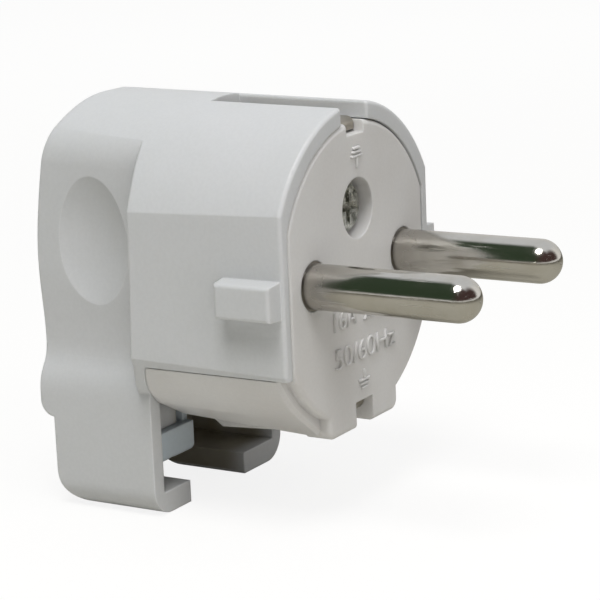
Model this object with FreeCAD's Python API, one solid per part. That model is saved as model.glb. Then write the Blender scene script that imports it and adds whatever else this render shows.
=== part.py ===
import FreeCAD, Part
import math
import os

from FreeCAD import Base

# Right-angle rewirable type F plug, millimetres.
# The origin is the centre of the engagement face, between the two pins.
# The pins point to -Y, the body lies towards +Y, the cord leaves towards -Z.

os.makedirs("parts", exist_ok=True)

V = Base.Vector

# Pins (fixed by the plug standard)
pin_d = 4.8
pin_length = 19.0
pin_pitch = 19.0
pin_root_d = 5.2
pin_root_start = 0.05
pin_gap = 0.05

# Collars that hold the pins behind the face
collar_d = 6.6
collar_thick = 1.5

# Round front of the body, built outwards from the pins and growing a little towards the rear
side_room = 2.85
flat_step = 2.09
body_flare = 0.26
flat_flare = 0.55
flat_half = pin_pitch / 2.0 + collar_d / 2.0 + side_room
flat_half_rear = flat_half + flat_flare
body_r = flat_half + flat_step
body_r_rear = body_r + body_flare
shoulder_low_y = 18.9
shoulder_mid_y = 18.35
shoulder_mid_z = 8.0
shoulder_top_y = 21.0
edge_round = 0.4
bore_room = 2.2
parting_z = -8.8
parting_gap = 0.1
collar_top_y = 17.5
collar_low_z = -12.8
collar_end_y = 21.0
collar_end_z = -13.8

# Face of the contact carrier
rim_top = 1.99
rim_low = 1.14
rim_side = 1.25
face_r_top = body_r - rim_top
face_r_low = body_r - rim_low
face_flat_half = flat_half - rim_side
face_thick = 3.2
face_round = 0.55
face_gap = 0.1
tab_half = 7.4
tab_drop = 0.7
tab_bottom = -face_r_low - tab_drop
tab_round = 1.2

# Lower skirt of the carrier
skirt_front = 1.3
skirt_back = 18.9
skirt_wall = 2.24
skirt_inner_r = body_r - skirt_wall
skirt_edge = 0.4
skirt_rise_front = 0.69
skirt_rise_back = 1.44
skirt_low_front = -body_r + skirt_rise_front
skirt_low_back = -body_r + skirt_rise_back
skirt_corner_x = 6.9
skirt_front_x = 10.1
skirt_back_x = 11.45
lug_half = 3.2
lug_front = 7.0
lug_knee_y = 9.1
lug_knee_drop = 0.99
lug_heel_y = 16.3
lug_heel_drop = 1.43
lug_end_y = 17.3
lug_end_drop = 0.7

# Grip and cord box
grip_half = 11.8
grip_waist = 11.3
grip_top_round = 4.5
back_y = 33.65
back_straight_z = 1.0
corner_front_y = 29.6
corner_y = 31.5
corner_drop = 1.54
corner_z = body_r - corner_drop
corner_pull_top = 1.8
corner_slope = 0.19
corner_pull_back = 4.8
box_half = 13.0
box_back = 32.0
box_front = 19.0
grip_front = 17.0
box_bottom = -26.6
box_corner = 3.0
box_back_corner = 4.2
ledge_z = -16.5
ledge_round = 1.75
flare_top = -8.0
flare_end = -14.0
grip_wall = 2.5
roof_wall = 1.9
hollow_front = 15.9
box_wall = 1.8
lip_top = -24.15
lip_near = 6.8
lip_far = 8.1
lip_near_x = -box_half + lip_near
lip_far_x = box_half - lip_far

# Finger dimples
dimple_y = 26.1
dimple_z = 3.1
dimple_half_y = 4.5
dimple_half_z = 7.35
dimple_depth = 1.5

# Guide ribs on the flats
rib_stand = 2.35
rib_reach = flat_half + rib_stand
rib_front = 0.35
rib_back = 7.15
rib_low = -2.35
rib_high = 1.75
rib_draft = 0.25
rib_round = 0.35

# Earth contact strip and its grooves
strip_width = 3.4
strip_thick = 0.8
strip_rise = 0.25
strip_outer = face_r_top + strip_rise
strip_front = 1.1
strip_web_front = 14.4
strip_hook = 1.35
strip_bend = 1.2
strip_front_bend = 0.9
strip_gap = 0.05
strip_screw_ring_r = 4.6
strip_terminal_r = 4.2
bed_half = 2.6
bed_back = 13.6
groove_half = 2.7
groove_back = 15.9
groove_round = 0.3
notch_half = 1.85
notch_room_top = 0.3
notch_room_low = 0.25
notch_top = strip_outer - strip_hook - notch_room_top
notch_low = -strip_outer + strip_hook + notch_room_low

# Assembly screw, nut and boss
asm_z = 6.5
asm_recess_d = 6.5
asm_head_d = 5.8
asm_head_top = 1.2
asm_seat = 3.7
asm_d = 3.5
asm_tip = 20.0
asm_clear_d = 3.8
asm_tube_d = 8.6
asm_nut_af = 6.0
asm_nut_thick = 2.8
asm_nut_gap = 0.08
asm_boss_d = 9.0

# Live terminals
tongue_half = 3.5
tongue_thick = 2.4
tongue_back = 14.2
term_y = 10.6
term_d = 3.5
term_head_d = 6.0
term_head_h = 2.2
term_tip_z = -3.4
washer_side = 6.8
washer_thick = 0.9
washer_hole_gap = 0.1

# Retaining plate behind the pin collars
plate_room = 1.2
plate_half_x = face_flat_half - plate_room
plate_half_z = 4.4
plate_thick = 1.8
plate_window_gap = 0.15
ret_x = 3.6
ret_z = -2.6
ret_d = 2.2
ret_head_d = 4.0
ret_head_h = 1.5
ret_tip = 1.3

# Earth terminal
earth_z = -4.0
earth_head_d = 6.0
earth_head_h = 2.2
earth_nut_side = 6.0
earth_nut_thick = 2.4
earth_tip = 10.8

# Cord clamp
clamp_gap = 0.3
clamp_width = 7.2
clamp_x0 = -box_half + box_wall + clamp_gap
clamp_x1 = clamp_x0 + clamp_width
clamp_y0 = 19.9
clamp_y1 = 29.4
clamp_z0 = -21.5
clamp_z1 = -18.0
clamp_wall = 0.85
clamp_wall_top = -12.6
clamp_wall_y0 = 20.7
clamp_teeth = 3
clamp_tooth = 0.6
boss_step = 1.0
boss_x1 = clamp_x1 - boss_step
boss_y0 = 20.9
boss_z0 = -17.95
boss_z1 = -9.6
cscrew_in = 3.1
cscrew_x = clamp_x0 + cscrew_in
cscrew_y = (22.35, 27.0)
cscrew_d = 2.5
cscrew_clear_d = 2.8
cscrew_head_d = 4.0
cscrew_head_h = 1.5
cscrew_sink_d = 4.3
cscrew_sink = 1.7
cscrew_tip = -11.2

# Shared screw features
cross_arm = 0.85
cross_depth = 1.2
slot_width = 0.8
slot_depth = 0.9

# How far the cutters reach past the body
far = 3.0 * body_r

# Derived sizes
pin_x = pin_pitch / 2.0
pin_r = pin_d / 2.0
root_r = pin_root_d / 2.0
body_depth = shoulder_low_y
body_slope = (body_r_rear - body_r) / body_depth
grip_top_r = body_r + body_slope * corner_front_y
strip_web_back = strip_web_front + strip_thick
bore_depth = strip_web_back + bore_room
collar_back = face_thick + collar_thick
plate_back = collar_back + plate_thick
strip_inner = strip_outer - strip_thick


def arc(p1, p2, p3):
    return Part.Arc(p1, p2, p3).toShape()


def line(p1, p2):
    return Part.makeLine(p1, p2)


def bezier(poles):
    curve = Part.BezierCurve()
    curve.setPoles(poles)
    return curve.toShape()


def prism_y(edges, y0, y1):
    """Solid swept along Y from a closed outline drawn in the plane y = 0."""
    face = Part.Face(Part.Wire(Part.__sortEdges__(edges)))
    face.translate(V(0, y0, 0))
    return face.extrude(V(0, y1 - y0, 0))


def prism_x(points_or_edges, x0, x1):
    """Solid swept along X from a closed outline drawn in the plane x = 0."""
    face = Part.Face(Part.Wire(Part.__sortEdges__(points_or_edges)))
    face.translate(V(x0, 0, 0))
    return face.extrude(V(x1 - x0, 0, 0))


def poly_edges(points):
    return [line(points[i], points[(i + 1) % len(points)]) for i in range(len(points))]


def box(x0, x1, y0, y1, z0, z1):
    return Part.makeBox(x1 - x0, y1 - y0, z1 - z0, V(x0, y0, z0))


def cyl_y(r, x, z, y0, y1):
    return Part.makeCylinder(r, y1 - y0, V(x, y0, z), V(0, 1, 0))


def cyl_z(r, x, y, z0, z1):
    return Part.makeCylinder(r, z1 - z0, V(x, y, z0), V(0, 0, 1))


def mirror_x(shape):
    return shape.mirror(V(0, 0, 0), V(1, 0, 0))


def on_circle(r, x, sign):
    return V(x, 0, sign * math.sqrt(r * r - x * x))


def flatted_round(r, half):
    """Outline of a circle of radius r with two side flats at x = -half and +half."""
    tr = on_circle(r, half, 1)
    tl = on_circle(r, -half, 1)
    br = on_circle(r, half, -1)
    bl = on_circle(r, -half, -1)
    return [arc(tl, V(0, 0, r), tr), line(tr, br), arc(br, V(0, 0, -r), bl), line(bl, tl)]


def slab_outline(half, waist, low_half, top_r, top_round, z_bottom, corner):
    """Grip outline: barrel arc on top, straight side, waist, flare and foot with round corners."""
    cx = half - top_round
    cz = math.sqrt((top_r - top_round) ** 2 - cx ** 2)
    scale = top_r / (top_r - top_round)
    edges = []
    top = V(0, 0, top_r)
    for s in (-1, 1):
        meet = V(s * cx * scale, 0, cz * scale)
        side = V(s * half, 0, cz)
        mid_dir = V(s * cx * scale - s * cx, 0, cz * scale - cz) + V(s * top_round, 0, 0)
        mid_dir.normalize()
        mid = V(s * cx, 0, cz) + mid_dir * top_round
        mid_arc = V(s * top_r * math.sin(0.2), 0, top_r * math.cos(0.2))
        edges.append(arc(top, mid_arc, meet))
        edges.append(arc(meet, mid, side))
        hip = V(s * half, 0, 1.0)
        neck = V(s * waist, 0, flare_top)
        edges.append(line(side, hip))
        edges.append(bezier([hip, V(s * half, 0, -3.0), V(s * waist, 0, -4.5), neck]))
        foot = V(s * low_half, 0, flare_end)
        mid_z = (flare_top + flare_end) / 2.0
        edges.append(bezier([neck, V(s * waist, 0, mid_z - 0.4), V(s * low_half, 0, mid_z + 0.4), foot]))
        if corner > 0:
            c0 = V(s * low_half, 0, z_bottom + corner)
            c1 = V(s * (low_half - corner), 0, z_bottom)
            kc = corner * (1.0 - math.sqrt(0.5))
            cm = V(s * (low_half - kc), 0, z_bottom + kc)
            edges.append(line(foot, c0))
            edges.append(arc(c0, cm, c1))
            edges.append(line(c1, V(0, 0, z_bottom)))
        else:
            c0 = V(s * low_half, 0, z_bottom)
            edges.append(line(foot, c0))
            edges.append(line(c0, V(0, 0, z_bottom)))
    return edges


def back_corner(inset):
    """Rounded top rear corner in the YZ plane: two curves that meet at the named corner point."""
    roof = V(0, corner_front_y - inset, grip_top_r - inset)
    knee = V(0, corner_y - inset, corner_z - inset)
    back = V(0, back_y - inset, back_straight_z - inset)
    lean = V(0, corner_slope, -1.0)
    upper = [roof, roof + V(0, corner_pull_top, 0), knee - lean * corner_pull_top, knee]
    lower = [knee, knee + lean * corner_pull_top * 1.5, back + V(0, 0, corner_pull_back), back]
    return roof, back, [bezier(upper), bezier(lower)]


def side_outline(inset, low_back, bottom, ledge, ledge_r, low_corner, front):
    """Side view outline of grip and cord box in the plane x = 0, moved inwards by inset."""
    roof, back_top, corner = back_corner(inset)
    back = back_top.y
    a = V(0, front, roof.z)
    d = V(0, back, ledge + ledge_r)
    e = V(0, back - ledge_r, ledge)
    f = V(0, low_back, ledge)
    edges = [line(a, roof)] + corner + [line(back_top, d)]
    k = math.sqrt(0.5)
    edges.append(arc(d, V(0, back - ledge_r + ledge_r * k, ledge + ledge_r - ledge_r * k), e))
    if abs(f.y - e.y) > 1e-6:
        edges.append(line(e, f))
    if low_corner > 0:
        g = V(0, low_back, bottom + low_corner)
        h = V(0, low_back - low_corner, bottom)
        m = V(0, low_back - low_corner + low_corner * k, bottom + low_corner - low_corner * k)
        edges += [line(f, g), arc(g, m, h)]
    else:
        h = V(0, low_back, bottom)
        edges.append(line(f, h))
    i = V(0, front, bottom)
    edges += [line(h, i), line(i, a)]
    return edges


def edges_where(shape, test):
    found = []
    for edge in shape.Edges:
        if test(edge):
            found.append(edge)
    return found


def along_y(edge):
    """True for a straight edge along Y."""
    bb = edge.BoundBox
    return bb.YLength > 0.5 and bb.XLength < 1e-6 and bb.ZLength < 1e-6


def edge_at_y(edge, y, tol=1e-4):
    bb = edge.BoundBox
    return abs(bb.YMin - y) < tol and abs(bb.YMax - y) < tol


def hex_prism_y(af, x, z, y0, y1):
    r = af / math.sqrt(3.0)
    turns = [math.radians(60 * i) for i in range(6)]
    pts = [V(x + r * math.cos(a), 0, z + r * math.sin(a)) for a in turns]
    return prism_y(poly_edges(pts), y0, y1)


def cross_recess(direction, center, arm_length, depth):
    """Cross recess cutter: two tapered arms sunk from the head top against direction."""
    half = cross_arm / 2.0
    slope = arm_length * 0.5 / depth
    top = arm_length + slope * 0.5
    low = arm_length - slope * depth
    pts = [V(-top, -half, 0.5), V(top, -half, 0.5), V(low, -half, -depth), V(-low, -half, -depth)]
    arm = Part.Face(Part.Wire(poly_edges(pts))).extrude(V(0, 2 * half, 0))
    other = arm.copy()
    other.rotate(V(0, 0, 0), V(0, 0, 1), 90)
    cutter = arm.fuse(other)
    turn = FreeCAD.Rotation(V(0, 0, 1), direction)
    cutter.Placement = FreeCAD.Placement(center, turn)
    return cutter


def slot_recess(direction, center, head_r, depth):
    """Straight slot cutter across the whole head."""
    cutter = box(-head_r - 1, head_r + 1, -slot_width / 2.0, slot_width / 2.0, -depth, 1)
    turn = FreeCAD.Rotation(V(0, 0, 1), direction)
    cutter.Placement = FreeCAD.Placement(center, turn)
    return cutter


def pan_screw(direction, seat, head_d, head_h, shank_d, length, arm):
    """Screw with a bevelled head; direction points from the shank towards the head top.

    A cross recess has arms of the given length, and arm = 0 gives a straight slot.
    """
    r = head_d / 2.0
    shank_r = shank_d / 2.0
    profile = [V(0, 0, -length), V(shank_r - 0.35, 0, -length), V(shank_r, 0, -length + 0.5),
               V(shank_r, 0, 0), V(r, 0, 0), V(r, 0, head_h * 0.8), V(r * 0.82, 0, head_h), V(0, 0, head_h)]
    face = Part.Face(Part.Wire(poly_edges(profile)))
    solid = face.revolve(V(0, 0, 0), V(0, 0, 1), 360)
    turn = FreeCAD.Rotation(V(0, 0, 1), direction)
    solid.Placement = FreeCAD.Placement(seat, turn)
    top = seat + V(direction.x, direction.y, direction.z) * head_h
    if arm > 0:
        return solid.cut(cross_recess(direction, top, arm, cross_depth))
    return solid.cut(slot_recess(direction, top, r, slot_depth))


def drafted_round(r0, r1, half0, half1, depth, length):
    """Cone along Y with two tilted side flats: r0 and half0 at y = 0, r1 and half1 at y = depth."""
    grow = length / depth
    end_r = r0 + (r1 - r0) * grow
    end_half = half0 + (half1 - half0) * grow
    cone = Part.makeCone(r0, end_r, length, V(0, 0, 0), V(0, 1, 0))
    pts = [V(-half0, 0, -far), V(half0, 0, -far), V(end_half, length, -far), V(-end_half, length, -far)]
    face = Part.Face(Part.Wire(poly_edges(pts)))
    return cone.common(face.extrude(V(0, 0, 2 * far)))


def collar_front(shift):
    """Front edge of the collar in side view, from the parting line down to the cord box wall."""
    top = V(0, collar_top_y + shift, parting_z)
    low = V(0, box_front + shift, collar_low_z)
    bend = V(0, (top.y + low.y) / 2.0 + 0.35, (top.z + low.z) / 2.0)
    return top, low, bezier([top, bend, low])


def make_barrel():
    """Drafted round front, with a collar below the parting line where the cord box begins."""
    solid = drafted_round(body_r, body_r_rear, flat_half, flat_half_rear, body_depth, body_depth + 5.0)
    front = edges_where(solid, lambda e: edge_at_y(e, 0.0))
    solid = solid.makeFillet(edge_round, front)
    top_z = body_r_rear + 1.0
    low = V(0, shoulder_low_y, parting_z)
    mid = V(0, shoulder_mid_y, shoulder_mid_z)
    top = V(0, shoulder_top_y, top_z)
    pull_low = V(0, shoulder_mid_y, shoulder_mid_z - 6.0)
    pull_high = V(0, shoulder_mid_y, shoulder_mid_z + 3.0)
    front_top = V(0, -1, top_z)
    front_low = V(0, -1, parting_z)
    collar_a, collar_b, collar_curve = collar_front(0.0)
    collar_c = V(0, box_front, collar_end_z)
    collar_d = V(0, collar_end_y, collar_end_z)
    edges = [line(front_low, collar_a), collar_curve, line(collar_b, collar_c), line(collar_c, collar_d)]
    edges += [line(collar_d, low), bezier([low, pull_low, mid]), bezier([mid, pull_high, top])]
    edges += [line(top, front_top), line(front_top, front_low)]
    return solid.common(prism_x(edges, -far, far))


def make_housing():
    barrel = make_barrel()
    outline = slab_outline(grip_half, grip_waist, box_half, grip_top_r, grip_top_round,
                           box_bottom, box_corner)
    side = side_outline(0.0, box_back, box_bottom, ledge_z, ledge_round, box_back_corner, grip_front)
    grip = prism_y(outline, 0, far).common(prism_x(side, -far, far))
    roof_cone = Part.makeCone(body_r, body_r + far * body_slope, far, V(0, 0, 0), V(0, 1, 0))
    grip = grip.common(roof_cone.fuse(box(-far, far, 0, far, -far, 0)))
    grip = grip.cut(box(-far, far, 0, box_front, -far, parting_z))
    solid = barrel.fuse(grip).removeSplitter()
    rib = make_rib()
    solid = solid.fuse([rib, mirror_x(rib)]).removeSplitter()
    for s in (-1, 1):
        solid = solid.cut(make_dimple(s))
    # room for the carrier
    half = face_flat_half + face_gap
    bore = prism_y(flatted_round(face_r_top + face_gap, half), -1, bore_depth)
    bore = bore.fuse(box(-half, half, -1, bore_depth, parting_z - 0.01, 0))
    solid = solid.cut(bore.common(box(-far, far, -2, far, parting_z - 0.01, far)))
    # hollow of grip and cord box
    roof = grip_top_r - roof_wall
    inner = slab_outline(grip_half - grip_wall, grip_waist - grip_wall + 0.1, box_half - box_wall,
                         roof, grip_top_round - 1.4, lip_top, 0.0)
    side_in = side_outline(roof_wall, box_back - box_wall, lip_top, ledge_z + 1.2, 1.2, 0.0, hollow_front)
    hollow = prism_y(inner, 0, far).common(prism_x(side_in, -far, far))
    solid = solid.cut(hollow)
    lip_back = box_back - box_wall
    solid = solid.cut(box(lip_near_x, lip_far_x, box_front - 3, lip_back,
                          box_bottom - 1, lip_top + 0.1))
    # groove over the upper earth contact
    solid = solid.cut(box(-groove_half, groove_half, -1, groove_back, face_r_top - 3.75, body_r + 2.26))
    rim = edges_where(solid, groove_rim)
    solid = solid.makeFillet(groove_round, rim)
    # boss with the captive nut, tied to the roof by a web
    boss_back = back_y - 1.5
    boss = cyl_y(asm_boss_d / 2.0, 0, asm_z, strip_web_back + 0.1, boss_back)
    web = box(-0.8, 0.8, shoulder_low_y + 1.5, boss_back, asm_z + 2.0, far)
    solid = solid.fuse([boss.common(grip.fuse(barrel)), web.common(grip)])
    solid = solid.cut(cyl_y(asm_clear_d / 2.0, 0, asm_z, 0, asm_tip + 1.5))
    nut_room = hex_prism_y(asm_nut_af + 2 * asm_nut_gap, 0, asm_z, 0,
                           strip_web_back + asm_nut_thick + asm_nut_gap)
    solid = solid.cut(nut_room)
    # boss for the cord clamp on one side wall
    post = box(-box_half + 1.0, boss_x1, boss_y0, box_back - 1.0, boss_z0, boss_z1)
    round_edge = edges_where(post, lambda e: abs(e.BoundBox.XMin - boss_x1) < 1e-6
                             and abs(e.BoundBox.YMax - boss_y0) < 1e-6 and e.BoundBox.ZLength > 1)
    post = post.makeFillet(1.2, round_edge)
    solid = solid.fuse(post.common(grip))
    for y in cscrew_y:
        solid = solid.cut(cyl_z(cscrew_d / 2.0, cscrew_x, y, boss_z0 - 1, cscrew_tip + 0.5))
    return solid.removeSplitter()


def groove_rim(edge):
    """True for the outer edges of the groove: two long ones and the one at its end."""
    bb = edge.BoundBox
    long_side = bb.YLength > 8.0 and abs(abs(bb.XMin) - groove_half) < 1e-3 and bb.XLength < 1e-3
    end = abs(bb.YMin - groove_back) < 1e-3 and bb.YLength < 1e-3 and bb.XLength > 4.0
    return bb.ZMin > face_r_top + 1.0 and (long_side or end)


def make_rib():
    """Guide rib on the -X flat, drafted a little in height."""
    x0 = -flat_half + 0.6
    x1 = -rib_reach
    faces = []
    for x, d in ((x0, 0.0), (x1, rib_draft)):
        pts = [V(x, rib_front, rib_low + d), V(x, rib_back - d, rib_low + d),
               V(x, rib_back - d, rib_high - d), V(x, rib_front, rib_high - d)]
        faces.append(Part.Wire(poly_edges(pts)))
    solid = Part.makeLoft(faces, True, True)
    outer = edges_where(solid, lambda e: abs(e.BoundBox.XMax - x1) < 1e-6)
    return solid.makeFillet(rib_round, outer)


def make_dimple(sign):
    """Finger dimple: a lens turned about an upright axis outside the grip, sunk in one side."""
    across = (dimple_half_y ** 2 + dimple_depth ** 2) / (2.0 * dimple_depth)
    along = (dimple_half_z ** 2 + dimple_depth ** 2) / (2.0 * dimple_depth)
    end_z = dimple_half_z + 1.5
    end_r = across - along + math.sqrt(along ** 2 - end_z ** 2)
    low = V(end_r, 0, -end_z)
    high = V(end_r, 0, end_z)
    edges = [line(V(0, 0, -end_z), low), arc(low, V(across, 0, 0), high),
             line(high, V(0, 0, end_z)), line(V(0, 0, end_z), V(0, 0, -end_z))]
    lens = Part.Face(Part.Wire(edges)).revolve(V(0, 0, 0), V(0, 0, 1), 360)
    lens.rotate(V(0, 0, 0), V(0, 0, 1), 90)
    lens.translate(V(sign * (grip_half - dimple_depth + across), dimple_y, dimple_z))
    return lens


def face_outline():
    """Outline of the engagement face: smaller arc above, larger arc below, side flats and bottom tab."""
    tl = on_circle(face_r_top, -face_flat_half, 1)
    tr = on_circle(face_r_top, face_flat_half, 1)
    br = on_circle(face_r_low, face_flat_half, -1)
    bl = on_circle(face_r_low, -face_flat_half, -1)
    jr = on_circle(face_r_low, tab_half, -1)
    jl = on_circle(face_r_low, -tab_half, -1)
    a = math.radians(45)
    mr = V(face_r_low * math.sin(a), 0, -face_r_low * math.cos(a))
    ml = V(-mr.x, 0, mr.z)
    k = tab_round * (1.0 - math.sqrt(0.5))
    edges = [arc(tl, V(0, 0, face_r_top), tr), line(tr, br), arc(br, mr, jr)]
    edges.append(line(jr, V(tab_half, 0, tab_bottom + tab_round)))
    edges.append(arc(V(tab_half, 0, tab_bottom + tab_round), V(tab_half - k, 0, tab_bottom + k),
                     V(tab_half - tab_round, 0, tab_bottom)))
    edges.append(line(V(tab_half - tab_round, 0, tab_bottom), V(-tab_half + tab_round, 0, tab_bottom)))
    edges.append(arc(V(-tab_half + tab_round, 0, tab_bottom), V(-tab_half + k, 0, tab_bottom + k),
                     V(-tab_half, 0, tab_bottom + tab_round)))
    edges.append(line(V(-tab_half, 0, tab_bottom + tab_round), jl))
    edges += [arc(jl, ml, bl), line(bl, tl)]
    return edges


def skirt_section(y, knee_x, bottom, top_z):
    """Outer outline of the skirt at one depth: barrel arc, a facet and a flat bottom."""
    r = body_r + body_slope * y
    left = V(-math.sqrt(r ** 2 - top_z ** 2), y, top_z)
    knee = V(-knee_x, y, -math.sqrt(r ** 2 - knee_x ** 2))
    a0 = math.atan2(left.z, left.x)
    a1 = math.atan2(knee.z, knee.x)
    am = (a0 + a1) / 2.0
    mid = V(r * math.cos(am), y, r * math.sin(am))
    corner = V(-skirt_corner_x, y, bottom)
    flip = lambda p: V(-p.x, p.y, p.z)
    edges = [arc(left, mid, knee), line(knee, corner), line(corner, flip(corner)),
             line(flip(corner), flip(knee)), arc(flip(knee), flip(mid), flip(left)), line(flip(left), left)]
    return Part.Wire(edges)


def make_carrier():
    disc = prism_y(face_outline(), 0.0, face_thick)
    rim = edges_where(disc, lambda e: edge_at_y(e, 0.0))
    disc = disc.makeFillet(face_round, rim)
    top_z = parting_z - parting_gap
    skirt = Part.makeLoft([skirt_section(skirt_front, skirt_front_x, skirt_low_front, top_z),
                           skirt_section(skirt_back, skirt_back_x, skirt_low_back, top_z)], True, True)
    front = edges_where(skirt, lambda e: edge_at_y(e, skirt_front) and e.BoundBox.ZMax < top_z - 0.01
                        or edge_at_y(e, skirt_front) and e.BoundBox.XLength < 12 and e.BoundBox.ZLength > 3)
    skirt = skirt.makeChamfer(skirt_edge, front)
    skirt = skirt.cut(cyl_y(skirt_inner_r, 0, 0, face_thick, skirt_back + 1))
    # the rear end follows the collar of the housing
    end_a, end_b, end_curve = collar_front(-parting_gap)
    above = V(0, end_a.y, end_a.z + 3)
    below = V(0, end_b.y, -far)
    room = [line(V(0, -1, above.z), above), line(above, end_a), end_curve, line(end_b, below),
            line(below, V(0, -1, -far)), line(V(0, -1, -far), V(0, -1, above.z))]
    skirt = skirt.common(prism_x(room, -far, far))
    solid = disc.fuse(skirt)
    # lug under the rear of the skirt
    root_z = skirt_low_front + 0.85
    pts = [V(0, lug_front, root_z), V(0, lug_front, skirt_low_front + 0.2),
           V(0, lug_knee_y, skirt_low_front - lug_knee_drop),
           V(0, lug_heel_y, skirt_low_front - lug_heel_drop),
           V(0, lug_end_y, skirt_low_front - lug_end_drop), V(0, lug_end_y, root_z)]
    solid = solid.fuse(prism_x(poly_edges(pts), -lug_half, lug_half))
    # pin bosses, screw posts, tube of the assembly screw and beds of the earth contacts
    for s in (-1, 1):
        solid = solid.fuse(cyl_y(4.6, s * pin_x, 0, face_thick - 0.5, collar_back))
        solid = solid.fuse(cyl_y(2.5, s * ret_x, ret_z, face_thick - 0.5, collar_back))
    solid = solid.fuse(cyl_y(asm_tube_d / 2.0, 0, asm_z, face_thick - 0.5, strip_web_front))
    bed_top = strip_inner - strip_gap
    solid = solid.fuse(box(-bed_half, bed_half, face_thick - 0.5, bed_back, asm_z + 2.5, bed_top))
    solid = solid.fuse(box(-bed_half, bed_half, face_thick - 0.5, bed_back, -bed_top, -12.6))
    # openings
    for s in (-1, 1):
        solid = solid.cut(cyl_y(root_r + pin_gap, s * pin_x, 0, -1, collar_back + 1))
        solid = solid.cut(cyl_y(collar_d / 2.0 + 0.1, s * pin_x, 0, face_thick, collar_back + 1))
        solid = solid.cut(cyl_y(ret_d / 2.0, s * ret_x, ret_z, ret_tip - 0.3, collar_back + 1))
    solid = solid.cut(cyl_y(asm_recess_d / 2.0, 0, asm_z, -1, asm_seat))
    solid = solid.cut(cyl_y(asm_clear_d / 2.0, 0, asm_z, -1, strip_web_front + 1))
    solid = solid.cut(box(-notch_half, notch_half, -1, face_thick, notch_top, far))
    solid = solid.cut(box(-notch_half, notch_half, -1, face_thick, -far, notch_low))
    solid = solid.cut(box(-notch_half, notch_half, -1, strip_web_back + 0.3, -far, -strip_inner))
    return solid.removeSplitter()


def make_pin(sign):
    x = sign * pin_x
    tip = -pin_length
    nose = V(pin_r * math.sqrt(0.5), tip + pin_r * (1 - math.sqrt(0.5)), 0)
    edges = [arc(V(0, tip, 0), nose, V(pin_r, tip + pin_r, 0)),
             line(V(pin_r, tip + pin_r, 0), V(pin_r, pin_root_start, 0)),
             line(V(pin_r, pin_root_start, 0), V(root_r, pin_root_start, 0)),
             line(V(root_r, pin_root_start, 0), V(root_r, face_thick, 0)),
             line(V(root_r, face_thick, 0), V(collar_d / 2.0, face_thick, 0)),
             line(V(collar_d / 2.0, face_thick, 0), V(collar_d / 2.0, collar_back, 0)),
             line(V(collar_d / 2.0, collar_back, 0), V(0, collar_back, 0)),
             line(V(0, collar_back, 0), V(0, tip, 0))]
    solid = Part.Face(Part.Wire(edges)).revolve(V(0, 0, 0), V(0, 1, 0), 360)
    half_z = tongue_thick / 2.0
    tongue = box(-tongue_half, tongue_half, collar_back - 0.5, tongue_back, -half_z, half_z)
    ends = edges_where(tongue, lambda e: e.BoundBox.ZLength > 1
                       and abs(e.BoundBox.YMin - tongue_back) < 1e-6)
    tongue = tongue.makeFillet(1.2, ends)
    # the part of the tongue that enters the collar stays inside it
    root = cyl_y(collar_d / 2.0, 0, 0, collar_back - 0.5, tongue_back)
    tongue = tongue.common(root.fuse(box(-9, 9, collar_back, 30, -2, 2)))
    solid = solid.fuse(tongue)
    solid = solid.cut(cyl_z(term_d / 2.0, 0, term_y, -3, 3))
    solid.translate(V(x, 0, 0))
    return solid.removeSplitter()


def make_washer(hole_d, side, thick):
    plate = box(-side / 2.0, side / 2.0, -side / 2.0, side / 2.0, 0, thick)
    corners = edges_where(plate, lambda e: e.BoundBox.XLength < 1e-6 and e.BoundBox.YLength < 1e-6)
    plate = plate.makeChamfer(0.6, corners)
    return plate.cut(cyl_z(hole_d / 2.0, 0, 0, -1, thick + 1))


def make_retainer():
    plate = box(-plate_half_x, plate_half_x, collar_back, plate_back, -plate_half_z, plate_half_z)
    plate = plate.makeFillet(1.8, edges_where(plate, along_y))
    plate = plate.cut(cyl_y(asm_tube_d / 2.0 + 0.2, 0, asm_z, 0, far))
    half_x = tongue_half + plate_window_gap
    half_z = tongue_thick / 2.0 + plate_window_gap
    for s in (-1, 1):
        plate = plate.cut(box(s * pin_x - half_x, s * pin_x + half_x, 0, far, -half_z, half_z))
        plate = plate.cut(cyl_y(ret_d / 2.0 + 0.15, s * ret_x, ret_z, 0, far))
    return plate


def strip_loop(y_front, y_back, z, bend_front, bend_back):
    """Half of the strip's side outline, above z = 0, from the front end back to the web."""
    k = 1.0 - math.sqrt(0.5)
    edges = []
    if bend_front > 0:
        f0 = V(0, y_front, z - bend_front)
        f1 = V(0, y_front + bend_front * k, z - bend_front * k)
        f2 = V(0, y_front + bend_front, z)
        edges.append(arc(f0, f1, f2))
    else:
        f2 = V(0, y_front, z)
    b0 = V(0, y_back - bend_back, z)
    b1 = V(0, y_back - bend_back * k, z - bend_back * k)
    b2 = V(0, y_back, z - bend_back)
    edges += [line(f2, b0), arc(b0, b1, b2), line(b2, V(0, y_back, 0))]
    return edges


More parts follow.
